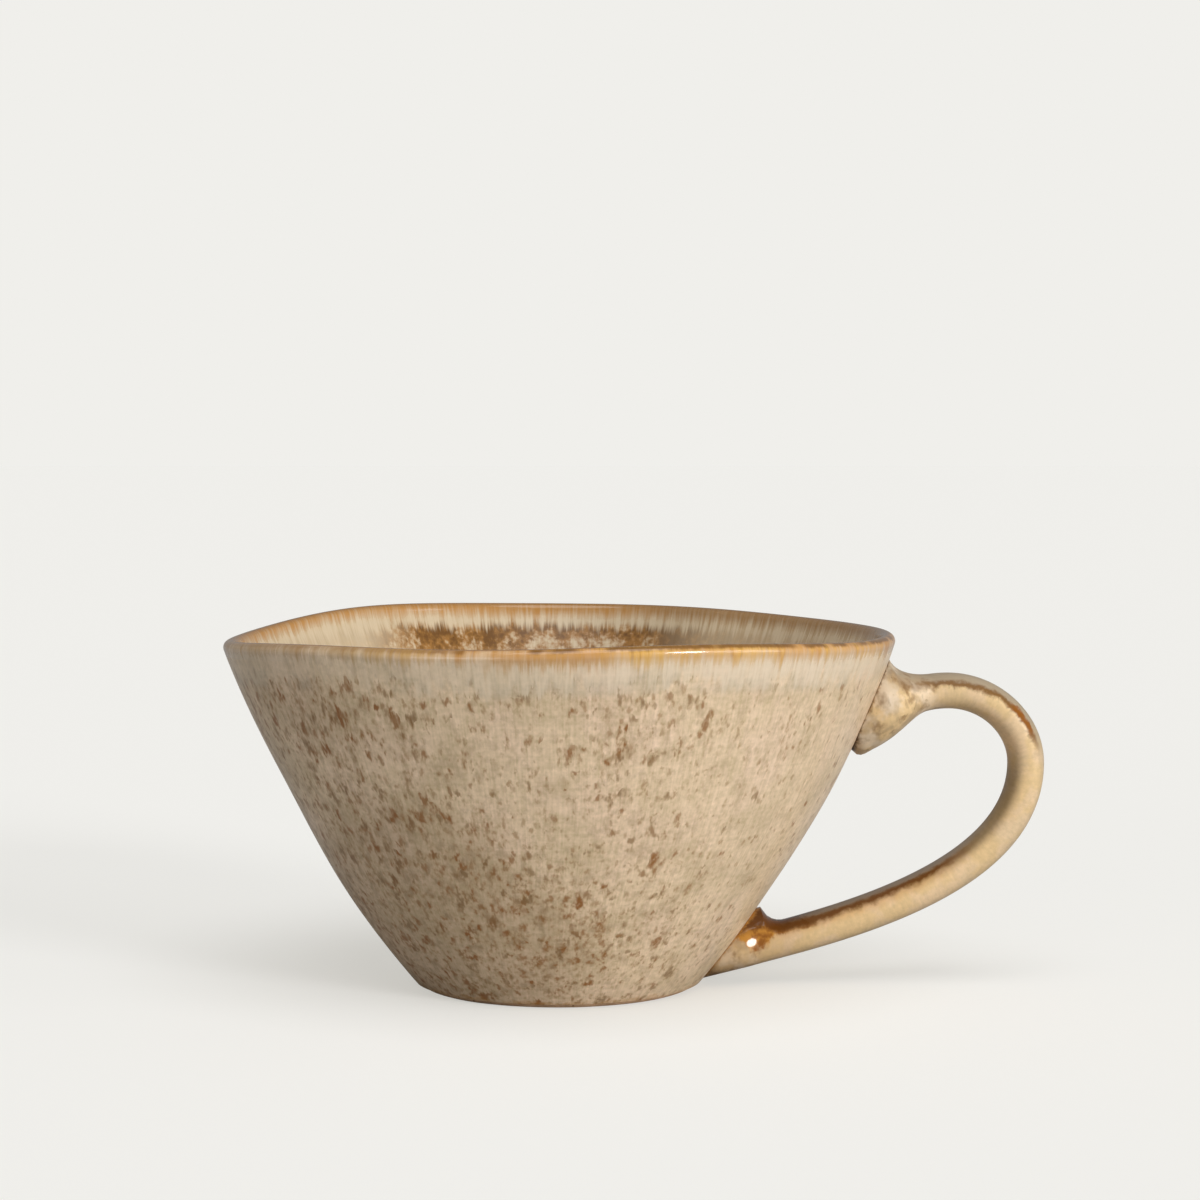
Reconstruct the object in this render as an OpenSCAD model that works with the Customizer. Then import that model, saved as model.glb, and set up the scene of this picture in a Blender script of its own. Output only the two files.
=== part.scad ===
// Hand-thrown cappuccino cup in speckled stoneware, in millimetres.
// The foot stands on the plane Z = 0, centred on the origin, and the handle points along +X.
// Each piece is one the potter makes: the thrown bowl, the pulled handle, the two
// slip joints that hold it, and the coats of glaze that cover them.

/* [Bowl] */
// Diameter of the clay bowl across its lip
rim_d = 118.2; // [96:0.2:136]
// Height of the clay bowl from the table to the crest of the lip
cup_h = 64.8; // [56:0.2:80]
// Diameter of the clay foot where it meets the table
foot_d = 50.2; // [44:0.2:60]
// Lean of the wall from upright where it leaves the foot, in degrees
foot_lean = 40.8; // [32:0.2:46]
// Lean of the wall from upright under the lip, in degrees
lip_lean = 16; // [8:0.5:24]
// How far the lean at the foot carries up the wall
foot_arm = 29.6; // [22:0.2:36]
// How far the lean at the lip carries down the wall
lip_arm = 10; // [6:0.2:18]
// Thickness of the clay at the lip
lip_t = 2; // [1.6:0.1:3.2]
// Thickness of the clay wall below the lip's taper
wall_t = 3.9; // [3:0.1:5.4]
// Thickness of the clay floor over the foot's recess
floor_t = 4.4; // [3:0.1:6]

/* [Hand-formed rim] */
// Strength of the rise and fall of the rim
rim_rise = 1; // [0:0.1:1.6]
// Strength of the in and out of the rim, seen from above
rim_spread = 1.1; // [0:0.1:1.6]
// How far the rim has drifted off the foot's centre, towards the handle
rim_drift = 0.95; // [0:0.05:1.5]
// Height at which the drift starts
drift_from = 14; // [8:1:20]
// Height over which the drift grows to its full size
drift_run = 26; // [16:1:40]

/* [Foot] */
// Width of the ring that the cup stands on
foot_ring_w = 4.2; // [3:0.1:6]
// Depth of the recess inside the ring
recess_depth = 1.8; // [1.2:0.1:2.4]
// How much the recess narrows towards its ceiling
recess_draft = 0.8; // [0.2:0.1:1.6]
// Bevel at the outer edge of the foot
foot_bevel = 0.3; // [0.2:0.05:0.5]

/* [Handle] */
// Thickness of the clay strap in the plane of the handle
strap_t = 5.7; // [4.6:0.1:7]
// Width of the clay strap
strap_w = 8.8; // [7:0.1:12]
// Rise of the handle's crown over the upper joint
crown_rise = 2.9; // [1.5:0.1:5]
// Reach of the crown from the upper joint
crown_reach = 14.6; // [12:0.1:18]
// Reach of the handle's outermost point from the upper joint
handle_reach = 28.9; // [24:0.1:34]
// Drop of the handle's outermost point below the upper joint
handle_drop = 10.4; // [7:0.1:14]
// How far the handle hangs straight down below its outermost point
hang_arm = 22.4; // [16:0.2:28]
// How far the handle runs straight out of the lower joint
return_arm = 19; // [12:0.2:24]
// Slope of the handle at the lower joint, in degrees
return_slope = 14; // [10:0.5:24]
// Slope of the handle at the upper joint, in degrees
start_slope = 4; // [0:0.5:12]

/* [Handle joints] */
// Wall left between the rim coat and the top of the handle's upper end
upper_clear = 1.7; // [1.2:0.1:4]
// Height of the handle's underside over the bare line, where it meets the wall
lower_clear = 1.4; // [1.1:0.1:3]
// Radius of the hollow between the top of the handle and the wall
top_fillet_r = 6.4; // [4:0.1:7]
// Where that hollow ends, along the handle from the upper joint
top_fillet_from = 12.2; // [8:0.1:13]
// Extra depth of the thumb-pressed lobe under the upper joint
lobe_h = 6.1; // [3:0.1:8]
// Where the lobe starts, along the handle from the upper joint
lobe_from = 9; // [7:0.1:12]
// Length over which the lobe swells to its full depth
lobe_run = 10.5; // [7:0.1:14]
// Extra half width of the upper end, where it is smeared on the wall
upper_spread = 5.2; // [2:0.1:7]
// Radius of the hollow between the lower end and the wall above it
low_fillet_r = 3.6; // [2:0.1:4.2]
// Where that hollow ends, along the handle from the lower joint
low_fillet_from = 13; // [10:0.1:14]
// Extra half width of the lower end
lower_spread = 0.5; // [0:0.1:2]

/* [Glaze] */
// Thickness of the fired glaze
glaze_t = 0.4; // [0.3:0.05:0.6]
// Height of the bare clay line at the foot
bare_line = 1; // [0.8:0.1:1.4]
// How far the amber rim coat runs down from the rounded lip
rim_band = 1.2; // [0.8:0.1:2]

/* [Hidden] */

// Steps round the bowl, up its wall, over its lip and across its floor
turn_steps = 64;
wall_steps = 8;
lip_steps = 4;
inside_steps = 6;
floor_steps = 3;
// Steps along the handle: up to its crown, round its bend, down its fall and into its lower
// joint, and steps round its section
rise_steps = 8;
bend_steps = 8;
fall_steps = 9;
return_steps = 8;
strap_sides = 20;
// Part of a turn, in steps each way, that the handle's seats need
seat_steps = 9;

// The rim's waves: 1, 2, 3 ... crests in a turn, as shares of rim_rise and rim_spread
rise_shares = [0.75, 1, 0.25, 0.3, 0.25];
rise_turns = [90, 103, 15, 41, 0];
spread_shares = [0, 0.25, 0.95, 1];
spread_turns = [0, 19, 83, 8];
// How fast the waves die away towards the foot
wave_power = 1.5;
// Stretch of the wall, from the lip, over which the clay thickens
taper_share = 0.35;
// Where the wall's inside turns into the floor, along the wall from the foot
floor_turn_share = 0.2;
// Roundness of the bend between the crown and the outermost point
round_share = 0.54;
// Length of the straight run at each end of the stretch from the joint to the crown
rise_share = 0.42;
// Where the handle's fall passes into its return to the wall
return_share = 0.76;
// Squareness of the strap's section: 1 is an ellipse
square_share = 0.88;
// Part of a hollow's radius that is drawn, just short of upright
hollow_share = 0.998;
// Length over which the ends of the handle widen
spread_run = 1.6 * top_fillet_r;
// Depth to which the handle's ends run into the wall before they are trimmed to it
upper_depth = 1.8 * wall_t;
lower_depth = 1.1 * wall_t;
// Overrun of cuts past a face
over = foot_bevel;

// Plain geometry

function bez(p, t) = p[0] * pow(1 - t, 3) + 3 * p[1] * t * pow(1 - t, 2)
    + 3 * p[2] * t * t * (1 - t) + p[3] * pow(t, 3);
function bez_run(p, t) = 3 * ((p[1] - p[0]) * pow(1 - t, 2) + 2 * (p[2] - p[1]) * t * (1 - t)
    + (p[3] - p[2]) * t * t);
function bez2(p, t) = p[0] * pow(1 - t, 2) + 2 * p[1] * t * (1 - t) + p[2] * t * t;
function bez2_run(p, t) = 2 * ((p[1] - p[0]) * (1 - t) + (p[2] - p[1]) * t);
function unit(v) = v / norm(v);
function dir(a) = [cos(a), sin(a)];
function right_of(v) = [v.y, -v.x];
function left_of(v) = [-v.y, v.x];
function held(x, low, high) = max(low, min(high, x));
function smooth(x) = let (c = held(x, 0, 1)) c * c * (3 - 2 * c);
function steps(n, a, b) = [for (k = [0:n]) a + (b - a) * k / n];
function joined(lists) = [for (l = lists) each l];
function turned(list) = [for (k = [len(list) - 1:-1:0]) list[k]];
function rounded_pow(x) = sign(x) * pow(abs(x), square_share);

// Section of the bowl, as pairs of a point and the direction that points out of the clay

lip_foot = [rim_d / 2, cup_h - lip_t / 2 * (1 + sin(lip_lean))];
wall_curve = [
    [foot_d / 2, 0],
    [foot_d / 2, 0] + foot_arm * dir(90 - foot_lean),
    lip_foot - lip_arm * dir(90 - lip_lean),
    lip_foot,
];
// A height as a place along the wall's curve, found by halving the stretch that holds it
function wall_place(z, low = 0, high = 1, halvings = 20) = let (mid = (low + high) / 2)
    halvings == 0 ? mid
    : bez(wall_curve, mid).y < z ? wall_place(z, mid, high, halvings - 1)
    : wall_place(z, low, mid, halvings - 1);
bevel_u = wall_place(foot_bevel);
bare_u = wall_place(bare_line);
band_u = wall_place(lip_foot.y - rim_band);
function wall_out(u) = unit(right_of(bez_run(wall_curve, u)));
function clay_t(u) = lip_t + (wall_t - lip_t) * smooth((1 - u) / taper_share);
function outside(u) = [bez(wall_curve, u), wall_out(u)];
function inside(u) = [bez(wall_curve, u) - clay_t(u) * wall_out(u), -wall_out(u)];

lip_centre = lip_foot - lip_t / 2 * wall_out(1);
function lip(k) = let (d = dir(-lip_lean + 180 * k / lip_steps)) [lip_centre + lip_t / 2 * d, d];

floor_z = recess_depth + floor_t;
turn_start = inside(floor_turn_share)[0];
turn_run = -unit(bez_run(wall_curve, floor_turn_share));
turn_leg = (floor_z - turn_start.y) / turn_run.y;
turn_corner = turn_start + turn_leg * turn_run;
floor_turn = [turn_start, turn_corner, turn_corner - [turn_leg, 0]];
function floor_curve(k) = let (t = k / floor_steps)
    [bez2(floor_turn, t), right_of(unit(bez2_run(floor_turn, t)))];

section = concat(
    [[[foot_d / 2 - foot_bevel, 0], [0, -1]], outside(bevel_u)],
    [for (u = steps(wall_steps, bare_u, band_u)) outside(u)],
    [outside(1)],
    [for (k = [1:lip_steps - 1]) lip(k)],
    [inside(1)],
    [for (u = steps(inside_steps, band_u, floor_turn_share)) inside(u)],
    [for (k = [1:floor_steps]) floor_curve(k)]
);
// Places in the section where one coat of glaze ends and the next begins
at_bare = 2;
at_band_out = at_bare + wall_steps;
at_band_in = at_band_out + lip_steps + 2;
at_floor = len(section) - 1;

// The bowl's hand-made waves

function waves(shares, turns, a) =
    [for (k = [0:len(shares) - 1]) shares[k] * cos((k + 1) * (a - turns[k]))]
    * [for (s = shares) 1];
// A point of the section, turned to angle a and moved as the clay at height z has moved
function placed(p, z, a) = let (
    hold = pow(max(0, z) / cup_h, wave_power),
    r = p.x + hold * rim_spread * waves(spread_shares, spread_turns, a),
    drift = rim_drift * smooth((z - drift_from) / drift_run)
) [r * cos(a) + drift, r * sin(a), p.y + hold * rim_rise * waves(rise_shares, rise_turns, a)];
// Place s of the section, raised off the clay, as one point at angle a
function at_angle(s, raise, a) = placed(s[0] + raise * s[1], s[0].y, a);
function ring(k, raise) =
    [for (j = [0:turn_steps - 1]) at_angle(section[k], raise, 360 * j / turn_steps)];
function arc(k, raise) = concat(
    [[0, 0, section[k][0].y]],
    [for (j = [-seat_steps:seat_steps]) at_angle(section[k], raise, 360 * j / turn_steps)]
);

// A skin over rings of points: a closed loop of rings, or an open row with a cap at each end
module skin(rings, loop = false, flip = false) {
    n = len(rings);
    m = len(rings[0]);
    rows = loop ? n : n - 1;
    quads = [for (k = [0:rows - 1], j = [0:m - 1]) let (
        a = k * m + j,
        b = k * m + (j + 1) % m,
        c = (k + 1) % n * m + (j + 1) % m,
        d = (k + 1) % n * m + j
    ) each [[a, d, c], [a, c, b]]];
    caps = loop ? [] : [for (j = [1:m - 2]) let (e = (n - 1) * m)
        each [[0, j, j + 1], [e, e + j + 1, e + j]]];
    faces = concat(quads, caps);
    polyhedron(joined(rings), flip ? [for (f = faces) turned(f)] : faces);
}

// A coat of glaze over the clay, from one place in the section to another
module coat(from, to) {
    over_rings = [for (k = [to:-1:from]) ring(k, glaze_t)];
    clay_rings = [for (k = [from:to]) ring(k, 0)];
    skin(concat(over_rings, clay_rings), loop = to < at_floor, flip = true);
}

// The glazed bowl as a filled wedge on the handle's side, to trim what seats on it
module glazed_wedge() {
    skin(concat(
        [for (k = [0:at_bare]) arc(k, 0)],
        [for (k = [at_bare:at_band_out]) arc(k, glaze_t)]
    ));
}

// Line of the handle, in its own plane, as [distance out, height]

function seat(u) = let (p = at_angle(outside(u), glaze_t, 0)) [p.x, p.z];
upper_joint = seat(wall_place(lip_foot.y - rim_band - upper_clear - top_fillet_r - strap_t / 2));
lower_joint = seat(wall_place(bare_line + lower_clear + strap_t / 2));
crown = upper_joint + [crown_reach, crown_rise];
far = upper_joint + [handle_reach, -handle_drop];
rise_arm = rise_share * crown_reach;
rise_curve = [
    upper_joint,
    upper_joint + rise_arm * dir(start_slope),
    crown - [rise_arm, 0],
    crown,
];
bend_curve = [
    crown,
    crown + [round_share * (far.x - crown.x), 0],
    far + [0, round_share * (crown.y - far.y)],
    far,
];
fall_curve = [
    far,
    far - [0, hang_arm],
    lower_joint + return_arm * dir(return_slope),
    lower_joint,
];
function along(curve, t) = [bez(curve, t), unit(bez_run(curve, t))];
stations = concat(
    [[upper_joint - upper_depth * dir(start_slope), dir(start_slope)]],
    [for (t = steps(rise_steps, 0, 1)) along(rise_curve, t)],
    [for (k = [1:bend_steps]) along(bend_curve, k / bend_steps)],
    [for (k = [1:fall_steps]) along(fall_curve, return_share * k / fall_steps)],
    [for (k = [1:return_steps]) along(fall_curve, return_share + (1 - return_share) * k / return_steps)],
    [[lower_joint - lower_depth * dir(return_slope), -dir(return_slope)]]
);
last_station = len(stations) - 1;

// Half sizes of the strap's section at a station, with its ends drawn out to the wall
function hollow(r, run) = let (x = held(run, 0, hollow_share * r)) r - sqrt(r * r - x * x);
function half_out(up) = strap_t / 2 + hollow(top_fillet_r, top_fillet_from - up);
function half_in(up, low) = strap_t / 2 + lobe_h * smooth((lobe_from - up) / lobe_run)
    + hollow(low_fillet_r, low_fillet_from - low);
function half_w(up, low) = strap_w / 2
    + upper_spread * smooth((top_fillet_from - up) / spread_run)
    + lower_spread * smooth((low_fillet_from - low) / spread_run);
function strap_ring(k, raise) = let (
    p = stations[k][0],
    out = left_of(stations[k][1]),
    up = k == 0 ? 0 : norm(p - upper_joint),
    low = k == last_station ? 0 : norm(p - lower_joint),
    w = half_w(up, low) + raise
) [for (j = [0:strap_sides - 1]) let (
    a = 360 * j / strap_sides,
    q = p + out * rounded_pow(cos(a)) * ((cos(a) > 0 ? half_out(up) : half_in(up, low)) + raise)
) [q.x, -w * rounded_pow(sin(a)), q.y]];
// The strap from one station to another, raised off the clay
module strap(from, to, raise) {
    skin([for (k = [from:to]) strap_ring(k, raise)]);
}
// Stations that reach past each seat
upper_end = rise_steps - 2;
lower_end = last_station - return_steps - 1;
module upper_strap_end() { strap(0, upper_end, 0); }
module lower_strap_end() { strap(lower_end, last_station, 0); }

// Sub-parts

module recess(from, to, grow) {
    slope = recess_draft / recess_depth;
    r = foot_d / 2 - foot_ring_w;
    rotate_extrude()
        polygon([[0, from - grow], [r - slope * from, from - grow], [r - slope * from, from],
                 [r - slope * to, to], [0, to]]);
}

module cup_body() {
    color("peru") difference() {
        skin([for (k = [0:at_floor]) ring(k, 0)]);
        recess(0, recess_depth, over);
    }
}

module base_glaze() {
    color("burlywood") recess(recess_depth - glaze_t, recess_depth, 0);
}

module outer_glaze() {
    color("tan") difference() {
        coat(at_bare, at_band_out);
        upper_strap_end();
        lower_strap_end();
    }
}

module rim_glaze() {
    color("darkgoldenrod") coat(at_band_out, at_band_in);
}

module inner_glaze() {
    color("antiquewhite") coat(at_band_in, at_floor);
}

module upper_luting_slip() {
    color("sienna") intersection() {
        coat(at_bare, at_band_out);
        upper_strap_end();
    }
}

module lower_luting_slip() {
    color("sienna") intersection() {
        coat(at_bare, at_band_out);
        lower_strap_end();
    }
}

module handle() {
    color("peru") difference() {
        strap(0, last_station, 0);
        glazed_wedge();
    }
}

module handle_glaze() {
    over_rings = [for (k = [last_station:-1:0]) strap_ring(k, glaze_t)];
    clay_rings = [for (k = [0:last_station]) strap_ring(k, 0)];
    color("wheat") difference() {
        skin(concat(over_rings, clay_rings), loop = true, flip = true);
        glazed_wedge();
    }
}

cup_body();
handle();
upper_luting_slip();
lower_luting_slip();
outer_glaze();
rim_glaze();
inner_glaze();
handle_glaze();
base_glaze();
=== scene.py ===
from math import cos, pi, radians, sin, sqrt

import bmesh
import bpy
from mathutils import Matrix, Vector
from mathutils.bvhtree import BVHTree
from mathutils.kdtree import KDTree


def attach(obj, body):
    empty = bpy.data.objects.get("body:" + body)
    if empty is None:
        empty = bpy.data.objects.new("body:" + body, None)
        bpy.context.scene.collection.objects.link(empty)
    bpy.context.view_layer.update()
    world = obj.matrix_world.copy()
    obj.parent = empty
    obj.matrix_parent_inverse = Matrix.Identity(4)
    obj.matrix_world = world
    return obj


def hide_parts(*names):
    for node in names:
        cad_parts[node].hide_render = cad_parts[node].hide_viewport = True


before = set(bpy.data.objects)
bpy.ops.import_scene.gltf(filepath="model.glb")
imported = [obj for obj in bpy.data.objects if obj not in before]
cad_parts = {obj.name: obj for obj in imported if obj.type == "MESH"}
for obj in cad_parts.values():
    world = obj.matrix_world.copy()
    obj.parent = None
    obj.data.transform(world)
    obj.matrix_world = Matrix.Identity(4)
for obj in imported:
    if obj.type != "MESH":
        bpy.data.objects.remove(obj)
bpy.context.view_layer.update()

# A hand-thrown stoneware cup: a clay bowl and a pulled handle under coats of glaze.
# Shapes are worked out in millimetres, as in the solids, and drawn in metres.
MM = 0.001

# The bowl
rim_d = 118.2
cup_h = 64.8
foot_d = 50.2
foot_lean = 40.8
lip_lean = 16
foot_arm = 29.6
lip_arm = 10
lip_t = 2
wall_t = 3.9
floor_t = 4.4
taper_share = 0.35
floor_turn_share = 0.2
foot_ring_w = 4.2
recess_depth = 1.8
recess_draft = 0.8
foot_bevel = 0.3
recess_r = foot_d / 2 - foot_ring_w
coat_draft_share = 0.78

# The rim's waves: 1, 2, 3 ... crests in a turn
rim_rise = 1
rim_spread = 1.1
rim_drift = 0.95
drift_from = 14
drift_run = 26
wave_power = 1.5
unevenness = 0.24
uneven_from = 20
rise_waves = [(0.75, 90), (1, 103), (0.25, 15), (0.3, 41), (0.25, 0)]
spread_waves = [(0, 0), (0.25, 19), (0.95, 83), (1, 8)]

# The handle
strap_t = 5.7
strap_w = 8.8
crown_rise = 2.9
crown_reach = 14.6
handle_reach = 28.9
handle_drop = 10.4
hang_arm = 22.4
return_arm = 19
return_slope = 14
start_slope = 4
round_share = 0.54
rise_share = 0.42
square_share = 0.88
upper_clear = 1.7
lower_clear = 1.4
top_fillet_r = 6.4
top_fillet_from = 12.2
lobe_h = 6.1
lobe_from = 10.2
lobe_run = 15
lobe_round_r = 2.3
lobe_round_from = 1.4
upper_spread = 5.2
low_fillet_r = 3.6
low_fillet_from = 13
lower_spread = 0.5
swell_w = 1.1
swell_from = 8.2
swell_run = 4.5
hollow_share = 0.998
spread_run = 1.6 * top_fillet_r
upper_depth = 1.8 * wall_t
lower_depth = 1.1 * wall_t

# The glaze
glaze_t = 0.4
bare_line = 1
rim_band = 1.2
joint_reach = 30
trim_below = 1

# Steps: round a turn, round the strap, and along each line
TURNS = 360
STRAP_SIDES = 72
WALL_STEPS = 130
LIP_STEPS = 20
EDGE_STEPS = 5
INSIDE_STEPS = 96
FLOOR_STEPS = 14
FOOT_STEPS = 10
SUNK_STEPS = 10
RISE_STEPS = 34
BEND_STEPS = 44
FALL_STEPS = 90
WIDER_STEP = 4


def direction(angle):
    return Vector((cos(radians(angle)), sin(radians(angle))))


def right_of(v):
    return Vector((v.y, -v.x))


def bezier(points, t):
    a, b, c, d = points
    return a * (1 - t) ** 3 + b * (3 * t * (1 - t) ** 2) + c * (3 * t * t * (1 - t)) + d * t ** 3


def bezier_run(points, t):
    a, b, c, d = points
    run = (b - a) * (1 - t) ** 2 + (c - b) * (2 * t * (1 - t)) + (d - c) * t * t
    return run.normalized()


def smooth(x):
    c = max(0, min(1, x))
    return c * c * (3 - 2 * c)


def spaced(n, a, b):
    return [a + (b - a) * k / n for k in range(n + 1)]


# Section of the clay: places of (point, way out of the clay)

lip_foot = Vector((rim_d / 2, cup_h - lip_t / 2 * (1 + sin(radians(lip_lean)))))
wall_foot = Vector((foot_d / 2, 0))
wall_curve = [
    wall_foot,
    wall_foot + foot_arm * direction(90 - foot_lean),
    lip_foot - lip_arm * direction(90 - lip_lean),
    lip_foot,
]


def wall_place(height):
    """Where the wall's curve passes a height."""
    low, high = 0, 1
    for _ in range(30):
        mid = (low + high) / 2
        low, high = (mid, high) if bezier(wall_curve, mid).y < height else (low, mid)
    return low


def outside(u):
    return bezier(wall_curve, u), right_of(bezier_run(wall_curve, u))


def inside(u):
    point, out = outside(u)
    clay = lip_t + (wall_t - lip_t) * smooth((1 - u) / taper_share)
    return point - clay * out, -out


def over_lip(share):
    out = direction(-lip_lean + 180 * share)
    return lip_foot - lip_t / 2 * outside(1)[1] + lip_t / 2 * out, out


floor_z = recess_depth + floor_t
turn_start = inside(floor_turn_share)[0]
turn_run = -bezier_run(wall_curve, floor_turn_share)
turn_leg = (floor_z - turn_start.y) / turn_run.y
turn_corner = turn_start + turn_leg * turn_run
turn_end = turn_corner - Vector((turn_leg, 0))


def floor_turn(t):
    point = turn_start * (1 - t) ** 2 + turn_corner * (2 * t * (1 - t)) + turn_end * t * t
    run = (turn_corner - turn_start) * (1 - t) + (turn_end - turn_corner) * t
    return point, right_of(run.normalized())


bare_u = wall_place(bare_line)
band_u = wall_place(lip_foot.y - rim_band)
wall_rows = [outside(u) for u in spaced(WALL_STEPS, bare_u, band_u)]
lip_rows = (
    [outside(u) for u in spaced(EDGE_STEPS, band_u, 1)]
    + [over_lip(k) for k in spaced(LIP_STEPS, 0, 1)[1:]]
    + [inside(u) for u in spaced(EDGE_STEPS, 1, band_u)[1:]]
)
inside_rows = (
    [inside(u) for u in spaced(INSIDE_STEPS, band_u, floor_turn_share)]
    + [floor_turn(t) for t in spaced(FLOOR_STEPS, 0, 1)[1:]]
    + [(Vector((r, floor_z)), Vector((0, 1))) for r in spaced(FLOOR_STEPS, turn_end.x, 0)[1:]]
)


def ways(rows, start=0):
    """Distance along the clay at each place, in a row of places."""
    found = [start]
    for (p, _), (q, _) in zip(rows, rows[1:]):
        found.append(found[-1] + (q - p).length)
    return found


lip_half = ways(lip_rows)[-1] / 2
wall_ways = [w - ways(wall_rows)[-1] - lip_half for w in ways(wall_rows)]
lip_ways = ways(lip_rows, -lip_half)
inside_ways = ways(inside_rows, lip_half)


def layer(rows, row_ways, raised):
    """Outline points of (distance out, height, height of the clay, way from the lip)."""
    return [(*(p + raised * out), p.y, w) for (p, out), w in zip(rows, row_ways)]


def thinned(rows):
    return rows[:-1:WIDER_STEP] + rows[-1:]


def coat_outline(rows, row_ways):
    """A coat of glaze: its open side and then, in wider steps, its side on the clay."""
    open_side = layer(rows, row_ways, glaze_t)
    clay_side = layer(thinned(rows), thinned(row_ways), 0)
    return open_side + clay_side[::-1]


# Trees of nodes, written as sums

NODE_W = 220
NODE_H = 180
MERGE_GAP = 1e-6
SHARP_BEND = 40


class Wire:
    """An output in a tree of nodes. A sum of wires lays the nodes for that sum."""

    def __init__(self, tree, socket):
        self.tree = tree
        self.socket = socket

    def __add__(self, other):
        return worked(self.tree, "ADD", self, other)

    def __radd__(self, other):
        return worked(self.tree, "ADD", other, self)

    def __sub__(self, other):
        return worked(self.tree, "SUBTRACT", self, other)

    def __rsub__(self, other):
        return worked(self.tree, "SUBTRACT", other, self)

    def __mul__(self, other):
        return worked(self.tree, "MULTIPLY", self, other)

    def __rmul__(self, other):
        return worked(self.tree, "MULTIPLY", other, self)

    def __truediv__(self, other):
        return worked(self.tree, "DIVIDE", self, other)

    def __pow__(self, other):
        return worked(self.tree, "POWER", self, other)


def feed(tree, socket, value):
    if isinstance(value, Wire):
        tree.links.new(value.socket, socket)
    else:
        socket.default_value = value


def put(tree, kind, settings=None, **inputs):
    """Lays a node. Its inputs are given by name, with _ for a space."""
    node = tree.nodes.new(kind)
    for name, value in (settings or {}).items():
        setattr(node, name, value)
    for name, value in inputs.items():
        feed(tree, node.inputs[name.replace("_", " ")], value)
    return node


def out_of(tree, node, name=0):
    return Wire(tree, node.outputs[name])


def worked(tree, operation, *values):
    node = tree.nodes.new("ShaderNodeMath")
    node.operation = operation
    for socket, value in zip(node.inputs, values):
        feed(tree, socket, value)
    return out_of(tree, node)


def vector_worked(tree, operation, *values):
    node = tree.nodes.new("ShaderNodeVectorMath")
    node.operation = operation
    for socket, value in zip(node.inputs, values):
        feed(tree, socket, value)
    return out_of(tree, node)


def combined(tree, x, y, z):
    return out_of(tree, put(tree, "ShaderNodeCombineXYZ", X=x, Y=y, Z=z))


def split(tree, vector):
    node = put(tree, "ShaderNodeSeparateXYZ", Vector=vector)
    return [out_of(tree, node, k) for k in range(3)]


def rising(tree, value, low, high, to_low=0, to_high=1):
    """A soft step from one end of a range to the other."""
    node = put(tree, "ShaderNodeMapRange", {"interpolation_type": "SMOOTHSTEP"},
               Value=value, From_Min=low, From_Max=high, To_Min=to_low, To_Max=to_high)
    return out_of(tree, node)


def noise(tree, vector, scale=1, detail=2, roughness=0.5, output=0):
    node = put(tree, "ShaderNodeTexNoise", Vector=vector, Scale=scale, Detail=detail,
               Roughness=roughness)
    return out_of(tree, node, output)


def opened(tree, inputs, outputs):
    """Gives a tree its named sockets. Returns wires from the inputs, and the output node."""
    for name, kind, value in inputs:
        socket = tree.interface.new_socket(name, in_out="INPUT", socket_type=kind)
        if value is not None:
            socket.default_value = value
    for name, kind in outputs:
        tree.interface.new_socket(name, in_out="OUTPUT", socket_type=kind)
    start = tree.nodes.new("NodeGroupInput")
    end = tree.nodes.new("NodeGroupOutput")
    return {name: out_of(tree, start, name) for name, _, _ in inputs}, end


def set_out(tree):
    """Sets the nodes out in columns, in the order in which they feed each other."""
    columns = {}

    def column(node):
        if node.name not in columns:
            before = [link.from_node for s in node.inputs for link in s.links]
            columns[node.name] = 1 + max([column(n) for n in before], default=-1)
        return columns[node.name]

    filled = {}
    for node in tree.nodes:
        k = column(node)
        node.location = (NODE_W * k, -NODE_H * filled.get(k, 0))
        filled[k] = filled.get(k, 0) + 1


FLOAT, INT, VECTOR = "NodeSocketFloat", "NodeSocketInt", "NodeSocketVector"
COLOUR, SHAPE, MATERIAL = "NodeSocketColor", "NodeSocketGeometry", "NodeSocketMaterial"


def named(tree, name, kind="FLOAT"):
    return out_of(tree, put(tree, "GeometryNodeInputNamedAttribute", {"data_type": kind}, Name=name))


def stored(tree, shape, name, value, kind="FLOAT", domain="POINT"):
    node = put(tree, "GeometryNodeStoreNamedAttribute", {"data_type": kind, "domain": domain},
               Geometry=shape, Name=name, Value=value)
    return out_of(tree, node)


def sheet_of_rings(tree, outline, around, looped):
    """A sheet with a row for each point of the outline. Also returns the turn at each
    point of the sheet, in radians, and a way to read the outline's values there."""
    size = out_of(tree, put(tree, "GeometryNodeAttributeDomainSize", {"component": "MESH"},
                            Geometry=outline), "Point Count")
    rows = size + looped
    sheet = put(tree, "GeometryNodeMeshGrid", Vertices_X=around + 1, Vertices_Y=rows)
    index = out_of(tree, put(tree, "GeometryNodeInputIndex"))
    row = worked(tree, "FLOORED_MODULO", worked(tree, "FLOORED_MODULO", index, rows), size)
    turn = worked(tree, "FLOOR", (index + 0.5) / rows) * 2 * pi / around

    def read(value, kind="FLOAT"):
        node = put(tree, "GeometryNodeSampleIndex", {"data_type": kind, "domain": "POINT"},
                   Geometry=outline, Value=value, Index=row + 0.25)
        return out_of(tree, node)

    return out_of(tree, sheet, "Mesh"), turn, read


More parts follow.
